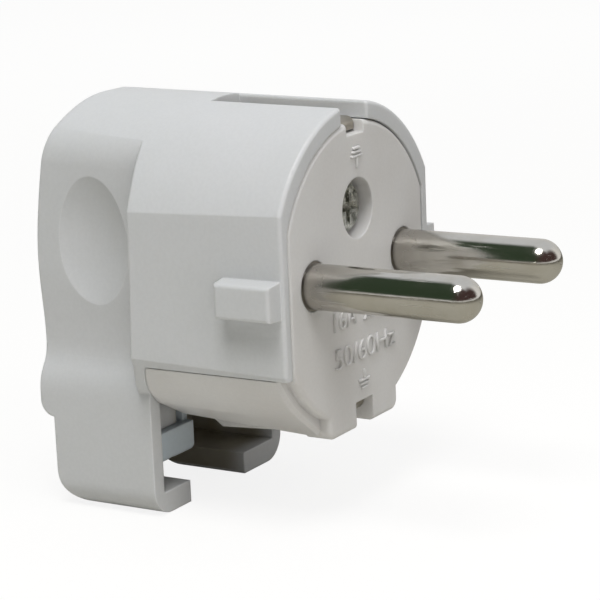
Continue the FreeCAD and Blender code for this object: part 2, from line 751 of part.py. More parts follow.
def make_strip():
    """One bent strip: upper contact, web behind the carrier, lower contact, both ends hooked inwards."""
    hook = strip_outer - strip_hook
    inner_bend = strip_bend - strip_thick + 0.2
    front_in = strip_front + strip_thick
    outer = strip_loop(strip_front, strip_web_back, strip_outer, strip_front_bend, strip_bend)
    inner = strip_loop(front_in, strip_web_front, strip_inner, 0.0, inner_bend)
    ends = [line(V(0, strip_front, strip_outer - strip_front_bend), V(0, strip_front, hook)),
            line(V(0, strip_front, hook), V(0, front_in, hook)),
            line(V(0, front_in, hook), V(0, front_in, strip_inner))]
    half = outer + inner + ends + [line(V(0, strip_web_back, 0), V(0, strip_web_front, 0))]
    upper = prism_x(half, -strip_width / 2.0, strip_width / 2.0)
    lower = upper.mirror(V(0, 0, 0), V(0, 0, 1))
    solid = upper.fuse([lower, cyl_y(strip_screw_ring_r, 0, asm_z, strip_web_front, strip_web_back),
                        cyl_y(strip_terminal_r, 0, earth_z, strip_web_front, strip_web_back)])
    solid = solid.cut(cyl_y(asm_clear_d / 2.0, 0, asm_z, 0, far))
    solid = solid.cut(cyl_y(term_d / 2.0 + 0.1, 0, earth_z, 0, far))
    return solid.removeSplitter()


def make_earth_nut():
    s = earth_nut_side / 2.0
    nut = box(-s, s, strip_web_front - earth_nut_thick, strip_web_front, earth_z - s, earth_z + s)
    nut = nut.makeChamfer(0.4, edges_where(nut, along_y))
    return nut.cut(cyl_y(term_d / 2.0, 0, earth_z, 0, far))


def make_assembly_nut():
    y0 = strip_web_back
    nut = hex_prism_y(asm_nut_af, 0, asm_z, y0, y0 + asm_nut_thick)
    r = asm_nut_af / math.sqrt(3.0) - 0.25
    bevel = Part.makeCone(r, r + asm_nut_thick, asm_nut_thick, V(0, y0, asm_z), V(0, 1, 0))
    return nut.common(bevel).cut(cyl_y(asm_d / 2.0, 0, asm_z, 0, far))


def make_cord_clamp():
    base = box(clamp_x0, clamp_x1, clamp_y0, clamp_y1, clamp_z0, clamp_z1)
    low_front = edges_where(base, lambda e: e.BoundBox.XLength > 1 and abs(e.BoundBox.ZMax - clamp_z0) < 1e-6
                            and abs(e.BoundBox.YMax - clamp_y0) < 1e-6)
    low_left = edges_where(base, lambda e: e.BoundBox.YLength > 1 and abs(e.BoundBox.ZMax - clamp_z0) < 1e-6
                           and abs(e.BoundBox.XMax - clamp_x0) < 1e-6)
    base = base.makeFillet(1.0, low_front + low_left)
    wall = box(clamp_x1 - clamp_wall, clamp_x1, clamp_wall_y0, clamp_y1, clamp_z1 - 0.5, clamp_wall_top)
    wall = wall.makeFillet(0.3, edges_where(wall, lambda e: e.BoundBox.YLength > 1
                                            and abs(e.BoundBox.ZMin - clamp_wall_top) < 1e-6))
    solid = base.fuse(wall)
    # teeth that bite on the cord
    for i in range(clamp_teeth):
        z = clamp_z0 + 1.6 + i * 2.6
        pts = [V(clamp_x1 - 0.2, 0, z - 0.7), V(clamp_x1 + clamp_tooth, 0, z), V(clamp_x1 - 0.2, 0, z + 0.7)]
        tooth = prism_y(poly_edges(pts), clamp_wall_y0 + 0.8, clamp_y1 - 0.6)
        solid = solid.fuse(tooth)
    for y in cscrew_y:
        solid = solid.cut(cyl_z(cscrew_clear_d / 2.0, cscrew_x, y, clamp_z0 - 1, clamp_z1 + 1))
        solid = solid.cut(cyl_z(cscrew_sink_d / 2.0, cscrew_x, y, clamp_z0 - 1, clamp_z0 + cscrew_sink))
    return solid.removeSplitter()


parts = {}
parts["housing"] = make_housing()
parts["contact_carrier"] = make_carrier()
washer = make_washer(term_d + 2 * washer_hole_gap, washer_side, washer_thick)
for name, s in (("line", -1), ("neutral", 1)):
    parts[name + "_pin"] = make_pin(s)
    live_washer = washer.copy()
    live_washer.translate(V(s * pin_x, term_y, tongue_thick / 2.0))
    parts[name + "_clamp_washer"] = live_washer
    seat = V(s * pin_x, term_y, tongue_thick / 2.0 + washer_thick)
    parts[name + "_terminal_screw"] = pan_screw(V(0, 0, 1), seat, term_head_d, term_head_h, term_d,
                                                seat.z - term_tip_z, 0)
parts["pin_retainer"] = make_retainer()
for name, s in (("left", -1), ("right", 1)):
    seat = V(s * ret_x, plate_back, ret_z)
    parts["retainer_screw_" + name] = pan_screw(V(0, 1, 0), seat, ret_head_d, ret_head_h, ret_d,
                                                plate_back - ret_tip, 0)
parts["earth_strip"] = make_strip()
earth_washer = washer.copy()
earth_washer.rotate(V(0, 0, 0), V(1, 0, 0), -90)
earth_washer.translate(V(0, strip_web_back, earth_z))
parts["earth_clamp_washer"] = earth_washer
seat = V(0, strip_web_back + washer_thick, earth_z)
parts["earth_terminal_screw"] = pan_screw(V(0, 1, 0), seat, earth_head_d, earth_head_h, term_d,
                                          seat.y - earth_tip, 0)
parts["earth_terminal_nut"] = make_earth_nut()
parts["assembly_screw"] = pan_screw(V(0, -1, 0), V(0, asm_seat, asm_z), asm_head_d, asm_seat - asm_head_top,
                                    asm_d, asm_tip - asm_seat, 1.9)
parts["assembly_nut"] = make_assembly_nut()
parts["cord_clamp"] = make_cord_clamp()
for name, y in (("front", cscrew_y[0]), ("rear", cscrew_y[1])):
    seat = V(cscrew_x, y, clamp_z0 + cscrew_sink)
    parts["cord_clamp_screw_" + name] = pan_screw(V(0, 0, -1), seat, cscrew_head_d, cscrew_head_h, cscrew_d,
                                                  cscrew_tip - seat.z, 0)

for name in sorted(parts):
    shape = parts[name]
    solids = shape.Solids
    print(name, "valid", shape.isValid(), "solids", len(solids), "volume", round(shape.Volume, 2))
    shape.exportStep("parts/" + name + ".step")
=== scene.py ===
import math

import bmesh
import bpy
import numpy as np
from mathutils import Matrix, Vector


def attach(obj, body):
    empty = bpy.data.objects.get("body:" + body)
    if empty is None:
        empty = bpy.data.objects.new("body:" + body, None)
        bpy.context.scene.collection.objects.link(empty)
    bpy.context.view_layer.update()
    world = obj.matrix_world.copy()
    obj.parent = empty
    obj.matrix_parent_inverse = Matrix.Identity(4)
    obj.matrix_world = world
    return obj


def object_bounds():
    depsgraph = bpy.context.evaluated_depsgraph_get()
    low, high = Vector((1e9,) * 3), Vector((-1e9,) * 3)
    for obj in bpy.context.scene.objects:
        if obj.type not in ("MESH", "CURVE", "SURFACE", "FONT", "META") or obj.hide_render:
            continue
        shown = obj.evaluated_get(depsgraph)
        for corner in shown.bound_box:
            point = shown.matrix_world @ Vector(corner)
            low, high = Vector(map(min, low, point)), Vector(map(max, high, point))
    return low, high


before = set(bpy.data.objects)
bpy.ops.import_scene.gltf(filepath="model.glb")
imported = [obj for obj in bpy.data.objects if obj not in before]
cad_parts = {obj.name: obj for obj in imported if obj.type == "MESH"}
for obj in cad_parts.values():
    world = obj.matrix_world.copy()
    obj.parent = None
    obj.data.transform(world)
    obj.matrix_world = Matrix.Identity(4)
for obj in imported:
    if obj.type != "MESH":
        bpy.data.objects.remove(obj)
cad_low, cad_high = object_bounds()

MM = 0.001

# The engagement face and the marks moulded on it, in millimetres; X runs across the pins, Y along them into
# the plug, Z up. The foot of every mark is sunk in the face.
FACE_Y = 0.0
SUNK_DEPTH = 0.1
MARK_RISE = 0.26
BAR_WIDTH = 0.34

# The cord box, in metres: half its width inside, its front edge and inner back along Y, and its foot
BOX_INSIDE = 0.0112
BOX_FRONT = 0.0190
BOX_BACK = 0.0302
BOX_FOOT = -0.0266

# Where a pin is dull and where the shade painted along its seam with the face lies, in metres along Y, from
# nothing to full; how far the dull border wanders; and how strongly each of them colours the pin
DULL_SPAN = (-0.0060, 0.0012)
SEAM_SPAN = (-0.0006, -0.0001)
DULL_WANDER = 0.003
DULL_SHARE = 0.75
SEAM_SHADE_SHARE = 0.45

# Where shade is painted on the shell inside its cord box, in metres: an axis, the place on it where the tone
# is nothing and where it is full
BOX_SHADE_SPANS = (
    ("X", BOX_INSIDE + 0.0006, BOX_INSIDE),
    ("X", -0.0070, -0.0045),
    ("Y", BOX_FRONT + 0.0001, BOX_FRONT + 0.0030),
    ("Y", BOX_BACK + 0.0007, BOX_BACK + 0.0001),
    ("Z", -0.0110, -0.0150),
    ("Z", BOX_FOOT + 0.0001, BOX_FOOT + 0.0004),
)

# Colours of the finishes and of the shade painted on some of them, linear
SHELL_COLOUR = (0.602, 0.608, 0.616)
INSERT_COLOUR = (0.680, 0.674, 0.664)
NYLON_COLOUR = (0.56, 0.62, 0.66)
NICKEL_COLOUR = (0.72, 0.70, 0.655)
STRIP_COLOUR = (0.45, 0.42, 0.365)
ZINC_AND_GLINT_COLOUR = (0.72, 0.73, 0.68)
DULL_COLOUR = (0.36, 0.335, 0.30)
SEAM_SHADE_COLOUR = (0.14, 0.13, 0.12)
BOX_SHADE_COLOUR = (0.30, 0.27, 0.20)
WHITE = (1.0, 1.0, 1.0)

# Moulded plastic: how much its gloss changes, how many times brighter the painted highlight on its edges is,
# and in metres how far its grain stands and how deep light goes under it
GLOSS_CHANGE = 0.05
PLASTIC_HIGHLIGHT = 1.35
GRAIN_DEPTH = 0.00002
GLOW_DEPTH = 0.0012

# Plated metal: how far its edges move to the bright tone of their painted highlight, how many times brighter
# that is, how far its lines stand in metres, and how much rougher a dull root gets
METAL_HIGHLIGHT_SHARE = 0.4
METAL_HIGHLIGHT = 1.2
LINE_DEPTH = 0.000008
DULL_GLOSS = 0.16


# Node helpers

def colour(rgb, factor=1.0):
    """An RGBA value from a linear colour."""
    return (rgb[0] * factor, rgb[1] * factor, rgb[2] * factor, 1.0)


def fill(tree, socket, value):
    """Links a socket to another node's output, or sets its value."""
    if isinstance(value, bpy.types.NodeSocket):
        tree.links.new(value, socket)
    else:
        socket.default_value = value


def add(tree, kind, inputs=None, **settings):
    """A new node in the tree, with its settings set and its inputs filled or linked by name or number."""
    made = tree.nodes.new(kind)
    for name, value in settings.items():
        setattr(made, name, value)
    for name, value in (inputs or {}).items():
        fill(tree, made.inputs[name], value)
    return made


def math_of(tree, operation, first, second, third=0.0, clamp=False):
    """The output of one Math node."""
    made = add(tree, "ShaderNodeMath", {0: first, 1: second, 2: third}, operation=operation, use_clamp=clamp)
    return made.outputs[0]


def product(tree, first, second):
    """first times second."""
    return math_of(tree, "MULTIPLY", first, second)


def between(tree, value, low, high, to_low=0.0, to_high=1.0):
    """value carried from low…high to to_low…to_high, with soft ends."""
    made = add(tree, "ShaderNodeMapRange",
               {"Value": value, "From Min": low, "From Max": high, "To Min": to_low, "To Max": to_high},
               interpolation_type="SMOOTHSTEP")
    return made.outputs["Result"]


def mix_colour(tree, factor, first, second, blend="MIX"):
    """The output of one colour Mix node."""
    made = add(tree, "ShaderNodeMix", data_type="RGBA", blend_type=blend)
    for number, value in ((0, factor), (6, first), (7, second)):
        fill(tree, made.inputs[number], value)
    return made.outputs[2]


def noise(tree, vector, scale, detail=2.0, roughness=0.5):
    """One noise field on the given coordinates."""
    made = add(tree, "ShaderNodeTexNoise",
               {"Vector": vector, "Scale": scale, "Detail": detail, "Roughness": roughness})
    return made.outputs["Fac"]


def object_place(tree):
    """Object coordinates."""
    return add(tree, "ShaderNodeTexCoord").outputs["Object"]


def parts_of(tree, vector):
    """The X, Y and Z outputs of a vector."""
    return add(tree, "ShaderNodeSeparateXYZ", {0: vector}).outputs


def ray_is(tree, kind):
    """1 for the rays of one kind, such as "Is Camera Ray", and 0 for the others."""
    return add(tree, "ShaderNodeLightPath").outputs[kind]


def cleared_tree(owner):
    """The emptied node tree of a material or a world."""
    owner.use_nodes = True
    owner.node_tree.nodes.clear()
    return owner.node_tree


def new_group(name, inputs, outputs):
    """An empty node group with named inputs (name, kind, value) and outputs (name, kind)."""
    tree = bpy.data.node_groups.new(name, "ShaderNodeTree")
    for label, kind, value in inputs:
        socket = tree.interface.new_socket(label, in_out="INPUT", socket_type="NodeSocket" + kind)
        socket.default_value = value
    for label, kind in outputs:
        tree.interface.new_socket(label, in_out="OUTPUT", socket_type="NodeSocket" + kind)
    return tree, tree.nodes.new("NodeGroupInput").outputs, tree.nodes.new("NodeGroupOutput").inputs


def place_group(tree, group, **values):
    """The group in a material, with that material's own values; an underscore stands for a space."""
    made = tree.nodes.new("ShaderNodeGroup")
    made.node_tree = group
    for name, value in values.items():
        fill(tree, made.inputs[name.replace("_", " ")], value)
    return made.outputs


# Effects that several finishes share

def moulded_surface_group():
    """Moulded plastic: a fine spark-eroded grain, slow flow marks in the colour and in the gloss."""
    tree, given, put = new_group(
        "Moulded surface",
        [("Colour", "Color", (0.6, 0.6, 0.6, 1.0)), ("Flow tint", "Color", (0.6, 0.6, 0.6, 1.0)),
         ("Flow amount", "Float", 0.3), ("Grain scale", "Float", 5000.0), ("Gloss", "Float", 0.4),
         ("Gloss change", "Float", 0.06)],
        [("Colour", "Color"), ("Roughness", "Float"), ("Height", "Float")])
    place = object_place(tree)
    slow = noise(tree, place, 70.0, 3.0, 0.55)
    flow = product(tree, between(tree, slow, 0.30, 0.72), given["Flow amount"])
    speckle = between(tree, noise(tree, place, 2600.0, 1.0), 0.30, 0.70, 0.988, 1.012)
    tinted = mix_colour(tree, flow, given["Colour"], given["Flow tint"])
    grey = add(tree, "ShaderNodeCombineColor", {0: speckle, 1: speckle, 2: speckle}).outputs[0]
    tree.links.new(mix_colour(tree, 1.0, tinted, grey, "MULTIPLY"), put["Colour"])
    patchy = between(tree, noise(tree, place, 240.0, 4.0, 0.6), 0.25, 0.75, -1.0, 1.0)
    gloss = math_of(tree, "MULTIPLY_ADD", patchy, given["Gloss change"], given["Gloss"])
    tree.links.new(gloss, put["Roughness"])
    grain = noise(tree, place, given["Grain scale"], 2.0, 0.6)
    ripple = noise(tree, place, 160.0, 1.0, 0.4)
    tree.links.new(math_of(tree, "MULTIPLY_ADD", ripple, 2.2, grain), put["Height"])
    return tree


def edge_group():
    """Edges of a piece: a normal that rounds them over the given width, and a mask that is 1 on them."""
    tree, given, put = new_group(
        "Rounded edge", [("Width", "Float", 0.0003)], [("Normal", "Vector"), ("Edge", "Float")])
    rounded = add(tree, "ShaderNodeBevel", {"Radius": given["Width"]}, samples=6).outputs["Normal"]
    true_normal = add(tree, "ShaderNodeNewGeometry").outputs["Normal"]
    turn = add(tree, "ShaderNodeVectorMath", {0: rounded, 1: true_normal}, operation="DOT_PRODUCT")
    tree.links.new(rounded, put["Normal"])
    tree.links.new(between(tree, turn.outputs["Value"], 0.995, 0.88), put["Edge"])
    return tree


def rubbed_metal_group():
    """Plated metal: hair scratches one way, rolling or turning lines across them, and dull clouds; small
    clouds between a bright colour and a dark tint stand as painted glints.
    """
    tree, given, put = new_group(
        "Rubbed metal",
        [("Along", "Vector", (6000.0, 60.0, 6000.0)), ("Across", "Vector", (0.0, 7000.0, 0.0)),
         ("Colour", "Color", (0.7, 0.7, 0.7, 1.0)), ("Dull tint", "Color", (0.6, 0.58, 0.5, 1.0)),
         ("Dull amount", "Float", 0.3), ("Dull scale", "Float", 320.0), ("Gloss", "Float", 0.15),
         ("Scratch gloss", "Float", 0.15)],
        [("Colour", "Color"), ("Roughness", "Float"), ("Height", "Float")])
    place = object_place(tree)
    hair = add(tree, "ShaderNodeVectorMath", {0: place, 1: given["Along"]}, operation="MULTIPLY")
    lines = add(tree, "ShaderNodeVectorMath", {0: place, 1: given["Across"]}, operation="MULTIPLY")
    scratch = between(tree, noise(tree, hair.outputs[0], 1.0, 2.0, 0.6), 0.60, 0.74)
    line = noise(tree, lines.outputs[0], 1.0, 3.0, 0.6)
    cloud = between(tree, noise(tree, place, given["Dull scale"], 4.0, 0.6), 0.40, 0.72)
    dull = product(tree, cloud, given["Dull amount"])
    tree.links.new(mix_colour(tree, dull, given["Colour"], given["Dull tint"]), put["Colour"])
    rough = math_of(tree, "MULTIPLY_ADD", scratch, given["Scratch gloss"], given["Gloss"])
    tree.links.new(math_of(tree, "MULTIPLY_ADD", dull, 0.12, rough), put["Roughness"])
    tree.links.new(math_of(tree, "MULTIPLY_ADD", scratch, -0.6, line), put["Height"])
    return tree


MOULDED = moulded_surface_group()
EDGE = edge_group()
RUBBED = rubbed_metal_group()


# Finishes

def new_material(name):
    """An empty node material with its Principled shader and its output."""
    material = bpy.data.materials.new(name)
    tree = cleared_tree(material)
    shader = tree.nodes.new("ShaderNodeBsdfPrincipled")
    output = tree.nodes.new("ShaderNodeOutputMaterial")
    tree.links.new(shader.outputs["BSDF"], output.inputs["Surface"])
    return material, tree, shader


def dress(tree, shader, surface, edge, highlight_share, bright, bump, depth):
    """Joins a placed surface group and a placed edge group to the shader. On the edges the colour moves by
    highlight_share towards bright, a painted highlight, and the surface's height stands depth metres at a
    bump of 1."""
    # painted highlight: the colour on the edges is lifted towards a brighter tone
    highlight_mask = product(tree, edge["Edge"], highlight_share)
    tree.links.new(mix_colour(tree, highlight_mask, surface["Colour"], bright), shader.inputs["Base Color"])
    tree.links.new(surface["Roughness"], shader.inputs["Roughness"])
    height = add(tree, "ShaderNodeBump", {"Strength": bump, "Distance": depth, "Height": surface["Height"],
                                          "Normal": edge["Normal"]})
    tree.links.new(height.outputs["Normal"], shader.inputs["Normal"])


def plastic(name, base, tint, flow, gloss, grain, edge_width, edge_highlight, bump, glow, reach):
    """Moulded plastic with softened edges whose colour is lifted towards a brighter tone, a painted
    highlight. glow is the share of light that goes on under the surface, and reach says how far each colour
    of it gets."""
    material, tree, shader = new_material(name)
    surface = place_group(tree, MOULDED, Colour=colour(base), Flow_tint=colour(tint), Flow_amount=flow,
                          Grain_scale=grain, Gloss=gloss, Gloss_change=GLOSS_CHANGE)
    edge = place_group(tree, EDGE, Width=edge_width)
    dress(tree, shader, surface, edge, edge_highlight, colour(base, PLASTIC_HIGHLIGHT), bump, GRAIN_DEPTH)
    shader.inputs["IOR"].default_value = 1.5
    shader.inputs["Subsurface Weight"].default_value = glow
    shader.inputs["Subsurface Radius"].default_value = reach
    shader.inputs["Subsurface Scale"].default_value = GLOW_DEPTH
    return material


def plated_metal(name, base, tint, dull, gloss, scratch, along, across, edge_width, bump, depth=LINE_DEPTH,
                 dull_scale=320.0):
    """Plated metal with its lines and scratches; depth is how far they stand, in metres."""
    material, tree, shader = new_material(name)
    surface = place_group(tree, RUBBED, Along=along, Across=across, Colour=colour(base),
                          Dull_tint=colour(tint), Dull_amount=dull, Dull_scale=dull_scale, Gloss=gloss,
                          Scratch_gloss=scratch)
    edge = place_group(tree, EDGE, Width=edge_width)
    dress(tree, shader, surface, edge, METAL_HIGHLIGHT_SHARE, colour(base, METAL_HIGHLIGHT), bump, depth)
    shader.inputs["Metallic"].default_value = 1.0
    return material


def dull_root(material):
    """Darkens and roughens a pin towards the face, where no socket ever rubs it clean, and paints shade in a
    thin ring where it meets the face.
    """
    tree = material.node_tree
    shader = tree.nodes["Principled BSDF"]
    place = object_place(tree)
    along = parts_of(tree, place)["Y"]
    uneven = math_of(tree, "MULTIPLY_ADD", noise(tree, place, 420.0, 3.0), DULL_WANDER, along)
    worn = between(tree, uneven, *DULL_SPAN)
    # painted shade: a thin dark ring on the pin where it meets the face
    seam = between(tree, along, *SEAM_SPAN)
    bright = shader.inputs["Base Color"].links[0].from_socket
    dulled = mix_colour(tree, product(tree, worn, DULL_SHARE), bright, colour(DULL_COLOUR))
    seam_shaded = mix_colour(tree, product(tree, seam, SEAM_SHADE_SHARE), dulled, colour(SEAM_SHADE_COLOUR))
    tree.links.new(seam_shaded, shader.inputs["Base Color"])
    gloss = shader.inputs["Roughness"].links[0].from_socket
    tree.links.new(math_of(tree, "MULTIPLY_ADD", worn, DULL_GLOSS, gloss), shader.inputs["Roughness"])


def paint_box_shade(material):
    """Browns and darkens the shell inside its cord box on the open far side: painted shade, where the body
    keeps the light out.
    """
    tree = material.node_tree
    shader = tree.nodes["Principled BSDF"]
    place = object_place(tree)
    apart = parts_of(tree, place)
    # painted shade: the inside of the cord box is darkened and browned, softly bounded along each axis
    inside = between(tree, noise(tree, place, 260.0, 3.0), 0.3, 0.7, 0.8, 1.0)
    for axis, nothing, full in BOX_SHADE_SPANS:
        inside = product(tree, inside, between(tree, apart[axis], nothing, full))
    unshaded = shader.inputs["Base Color"].links[0].from_socket
    tree.links.new(mix_colour(tree, inside, unshaded, colour(BOX_SHADE_COLOUR)), shader.inputs["Base Color"])


shell_plastic = plastic(
    "shell plastic", SHELL_COLOUR, tint=(0.575, 0.588, 0.590), flow=0.5, gloss=0.42, grain=5200.0,
    edge_width=0.00030, edge_highlight=0.60, bump=0.35, glow=0.25, reach=(1.0, 0.95, 0.85))
insert_plastic = plastic(
    "insert plastic", INSERT_COLOUR, tint=(0.60, 0.58, 0.56), flow=0.6, gloss=0.36, grain=4600.0,
    edge_width=0.00025, edge_highlight=0.25, bump=0.40, glow=0.25, reach=(1.0, 0.95, 0.85))
clamp_nylon = plastic(
    "clamp nylon", NYLON_COLOUR, tint=(0.50, 0.58, 0.66), flow=0.6, gloss=0.37, grain=3800.0,
    edge_width=0.00025, edge_highlight=0.30, bump=0.40, glow=0.6, reach=(1.0, 1.0, 1.0))
pin_nickel = plated_metal(
    "pin nickel", NICKEL_COLOUR, tint=(0.58, 0.545, 0.46), dull=0.35, gloss=0.115, scratch=0.20,
    along=(3600.0, 120.0, 3600.0), across=(2400.0, 500.0, 2400.0), edge_width=0.00008, bump=0.8)
strip_nickel = plated_metal(
    "strip nickel", STRIP_COLOUR, tint=(0.42, 0.39, 0.32), dull=0.5, gloss=0.30, scratch=0.12,
    along=(6000.0, 200.0, 200.0), across=(0.0, 300.0, 8000.0), edge_width=0.00010, bump=0.5)
# painted glints: the screw's colour goes in small clouds between bright zinc and a nearly black tint
screw_zinc_glints = plated_metal(
    "screw zinc glints", ZINC_AND_GLINT_COLOUR, tint=(0.14, 0.15, 0.12), dull=0.9, gloss=0.10, scratch=0.15,
    along=(2600.0, 900.0, 2500.0), across=(1500.0, 900.0, 1800.0), edge_width=0.00010, bump=1.0,
    depth=0.0005, dull_scale=1300.0)
dull_root(pin_nickel)
paint_box_shade(shell_plastic)

FINISHES = {
    "housing": shell_plastic,
    "contact_carrier": insert_plastic,
    "pin_retainer": insert_plastic,
    "cord_clamp": clamp_nylon,
    "line_pin": pin_nickel,
    "neutral_pin": pin_nickel,
    "earth_strip": strip_nickel,
}
for node_name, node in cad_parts.items():
    node.material_slots[0].material = FINISHES.get(node_name, screw_zinc_glints)


# New pieces on the engagement face

def finish_piece(name, mesh, material):
    """Puts a finished mesh in the scene, riding on the plug's one body."""
    piece = bpy.data.objects.new(name, mesh)
    bpy.context.scene.collection.objects.link(piece)
    mesh.materials.clear()
    mesh.materials.append(material)
    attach(piece, "root")


def smooth_faces(mesh):
    """Shades all faces of a mesh smooth."""
    mesh.polygons.foreach_set("use_smooth", np.ones(len(mesh.polygons), bool))


def surface_mesh(name, grid, closed_v=False):
    """A mesh from a grid of points, rows along u and columns along v, faces by neighbouring indices."""
    rows, columns = grid.shape[:2]
    mesh = bpy.data.meshes.new(name)
    index = np.arange(rows * columns).reshape(rows, columns)
    right = np.roll(index, -1, axis=1) if closed_v else index[:, 1:]
    left = index if closed_v else index[:, :-1]
    quads = np.stack([left[:-1], left[1:], right[1:], right[:-1]], axis=-1).reshape(-1, 4)
    mesh.from_pydata((grid.reshape(-1, 3) * MM).tolist(), [], quads.tolist())
    smooth_faces(mesh)
    return mesh


def close_ends(mesh, rows, columns):
    """Caps the first and last ring of a tube-like mesh with one face each, and turns all faces outwards."""
    work = bmesh.new()
    work.from_mesh(mesh)
    work.verts.ensure_lookup_table()
    for first in (0, (rows - 1) * columns):
        work.faces.new([work.verts[first + i] for i in range(columns)])
    bmesh.ops.recalc_face_normals(work, faces=work.faces)
    work.to_mesh(mesh)
    work.free()
    smooth_faces(mesh)


def raised_bar(name, start, end, width, rise):
    """A moulded bar on the face, from start to end in (x, z). Its foot is a stadium round that line and each
    ring shrinks towards the line as the height grows, so the section is a flat-topped rounded hump:
    offset = half width * (1 - 0.55 t^3) and height = t * (rise + sunk depth) - sunk depth, with t from 0 at
    the sunk foot to 1 on top. A last ring lies on top too, 2% of the way to the middle of the bar."""
    start, end = np.array(start, float), np.array(end, float)
    along = (end - start) / np.linalg.norm(end - start)
    across = np.array([-along[1], along[0]])
    half = width / 2.0
    turn = np.linspace(0.0, 2.0 * math.pi, 32, endpoint=False)
    direction = np.cos(turn)[:, None] * along + np.sin(turn)[:, None] * across
    inner_start, inner_end = start + along * half, end - along * half
    centre = np.where((np.cos(turn) > 0)[:, None], inner_end, inner_start)
    t = np.array([0.0, 0.25, 0.5, 0.7, 0.85, 0.95, 1.0])
    offset = half * (1.0 - 0.55 * t ** 3)
    ring = centre[None] + offset[:, None, None] * direction[None]
    top = (start + end) / 2.0 * 0.02 + ring[-1:] * 0.98
    outline = np.concatenate([ring, top])
    height = np.concatenate([t, [1.0]]) * (rise + SUNK_DEPTH) - SUNK_DEPTH
    y = np.broadcast_to(FACE_Y - height[:, None], outline.shape[:2])
    grid = np.stack([outline[..., 0], y, outline[..., 1]], axis=-1)
    mesh = surface_mesh(name, grid, closed_v=True)
    close_ends(mesh, grid.shape[0], grid.shape[1])
    return mesh


def raised_text(name, words, left, right, foot, cap, rise):
    """Moulded lettering on the face: the plain built-in font, pushed out of the face, then scaled so that it
    spans left to right in X. In Z its base line lies at foot and its tallest sign is cap high."""
    curve = bpy.data.curves.new(name, "FONT")
    curve.body = words
    curve.size = 1.0
    curve.extrude = 0.5
    curve.offset = -0.012
    curve.resolution_u = 6
    holder = bpy.data.objects.new(name + "_curve", curve)
    bpy.context.scene.collection.objects.link(holder)
    bpy.context.view_layer.update()
    mesh = bpy.data.meshes.new_from_object(holder.evaluated_get(bpy.context.evaluated_depsgraph_get()))
    bpy.data.objects.remove(holder)
    points = np.empty(len(mesh.vertices) * 3, np.float32)
    mesh.vertices.foreach_get("co", points)
    points = points.reshape(-1, 3)
    low, high = points.min(0), points.max(0)
    share = (points - low) / (high - low)
    x = left + share[:, 0] * (right - left)
    y = FACE_Y + SUNK_DEPTH - share[:, 2] * (rise + SUNK_DEPTH)
    z = foot + cap * points[:, 1] / high[1]
    placed = np.stack([x, y, z], axis=-1).astype(np.float32) * MM
    mesh.vertices.foreach_set("co", placed.ravel())
    mesh.update()
    return mesh


# Start and end of every bar in (x, z); then the words, left, right, foot and height of every text
BARS = {
    "upper_earth_bar_long": ((-1.18, 12.04), (1.18, 12.04)),
    "upper_earth_bar_middle": ((-0.99, 12.47), (0.99, 12.47)),
    "upper_earth_bar_short": ((-0.75, 12.90), (0.75, 12.90)),
    "upper_earth_stem": ((0.0, 10.7), (0.0, 12.0)),
    "lower_earth_stem": ((0.0, -12.15), (0.0, -11.0)),
    "lower_earth_bar_long": ((-1.18, -12.18), (1.18, -12.18)),
    "lower_earth_bar_middle": ((-0.99, -12.61), (0.99, -12.61)),
    "lower_earth_bar_short": ((-0.75, -13.04), (0.75, -13.04)),
}
TEXTS = {
    "rating_current": ("16A", -6.0, -1.35, -5.75, 2.1),
    "rating_voltage": ("250V~", 0.3, 7.2, -5.75, 2.1),
    "rating_frequency": ("50/60Hz", -6.0, 6.9, -9.9, 2.2),
}
for bar_name, (bar_start, bar_end) in BARS.items():
    bar = raised_bar(bar_name, bar_start, bar_end, BAR_WIDTH, MARK_RISE)
    finish_piece(bar_name, bar, insert_plastic)
for text_name, text_place in TEXTS.items():
    text = raised_text(text_name, *text_place, MARK_RISE)
    finish_piece(text_name, text, insert_plastic)


# Studio

# The floor: half its side and how far it lies under the plug, in millimetres, and the share of plain white
# that the camera sees in it
FLOOR_HALF = 4000.0
FLOOR_GAP = 0.05
WHITE_SHARE = 0.80

# The floor's tones, linear. In each pair the tone changes cloudily between the two: the paper that the camera
# sees, and the table that polished pieces mirror. Then what the floor gives back as light, on the near side
# of the plug and on the far side, where its shadow is painted, and both tones far away.
PAPER = ((0.68, 0.665, 0.63), (0.71, 0.695, 0.66))
TABLE = ((0.37, 0.355, 0.305), (0.39, 0.375, 0.325))
NEAR_BOUNCE = (0.76, 0.745, 0.705)
PAINTED_SHADOW_BOUNCE = (0.24, 0.23, 0.21)
FAR_BOUNCE = (0.34, 0.33, 0.31)
FAR_TABLE = (0.17, 0.16, 0.13)

# How the floor's tones change with the distance from the plug and towards its far side, where its shadow is
# painted, in metres, and where and how much brighter its plain white gets far away
AWAY_SPAN = (0.08, 0.34)
SHADOW_SIDE_SPAN = (-0.03, 0.05)
WHITE_SPAN = (0.09, 0.50)
WHITE_LEVELS = (1.07, 1.12)

# The room's tones, linear
CEILING_LOW = (0.64, 0.63, 0.61)
CEILING_HIGH = (0.63, 0.645, 0.67)
WINDOW = (0.80, 0.79, 0.78)
LOW_FRONT = (0.16, 0.155, 0.15)
DARK_FRONT = (0.060, 0.035, 0.032)
DARK_REAR = (0.034, 0.052, 0.030)

# Parts of the room as cones: the direction of each, and the cosines where it begins and where it is full
REAR_CONE = ((-0.80, 0.60, 0.0), 0.12, 0.36)
CAMERA_CONE = ((-0.90, -0.44, 0.0), 0.30, 0.52)
FACE_CONE = ((0.0, -0.954, 0.30), 0.70, 0.93)
WINDOW_CONE = ((0.45, -0.89, 0.0), 0.55, 0.88)
LOW_FRONT_CONE = ((0.50, -0.86, 0.0), 0.10, 0.70)

# Heights in the room, as the Z of a direction: where the ceiling's tone, the dark and the low front change.
# Then where the dark's tone changes along Y, and how much weaker light from low in front is.
CEILING_SPAN = (0.0, 0.9)
DARK_SPAN = (0.04, 0.14)
LOW_SPAN = (0.42, 0.08)
SHADE_SPAN = (-0.6, 0.3)
LOW_SHARE = 0.85


